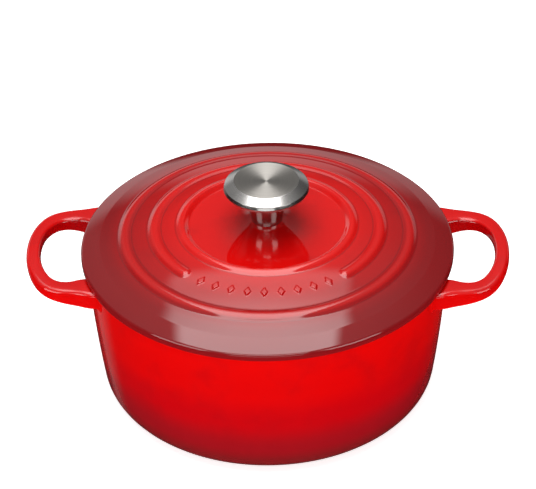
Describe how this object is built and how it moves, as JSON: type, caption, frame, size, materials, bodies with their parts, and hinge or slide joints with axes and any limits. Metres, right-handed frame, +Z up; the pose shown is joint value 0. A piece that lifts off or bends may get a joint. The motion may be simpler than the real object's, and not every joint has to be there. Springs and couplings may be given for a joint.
{
  "type": "cast iron dutch oven",
  "caption": "Round enamelled cast iron cooking pot with two loop handles and a lift-off lid with a steel knob.",
  "frame": {"origin": "centre of the flat base, on the surface the pot stands on", "axes": "+Z up; X through both loop handles; -Y towards the open side of the lid's middle ring"},
  "size_m": [0.3316, 0.256, 0.1607],
  "materials": {
    "exterior_enamel": "gloss red vitreous enamel, shading to dark red, on cast iron",
    "lid_enamel": "gloss red vitreous enamel, shading to maroon at the edge, on cast iron",
    "interior_enamel": "gloss sand-coloured enamel",
    "rim_enamel": "matt dark ground enamel on the rims",
    "brushed_steel": "brushed stainless steel",
    "polished_steel": "mirror-polished stainless steel",
    "zinc_steel": "zinc plated steel fixings"
  },
  "bodies": {
    "pot": {"pot": "exterior_enamel"},
    "lid": {"lid": "lid_enamel", "knob_cap": "brushed_steel", "knob_stem": "brushed_steel", "knob_insert": "zinc_steel", "knob_screw": "zinc_steel", "screw_washer": "zinc_steel", "lock_washer": "zinc_steel"}
  },
  "joints": [
    {"name": "lid_lift", "type": "slide", "parent": "pot", "child": "lid", "axis": [0, 0, 1], "range_m": [0, 0.22]}
  ]
}
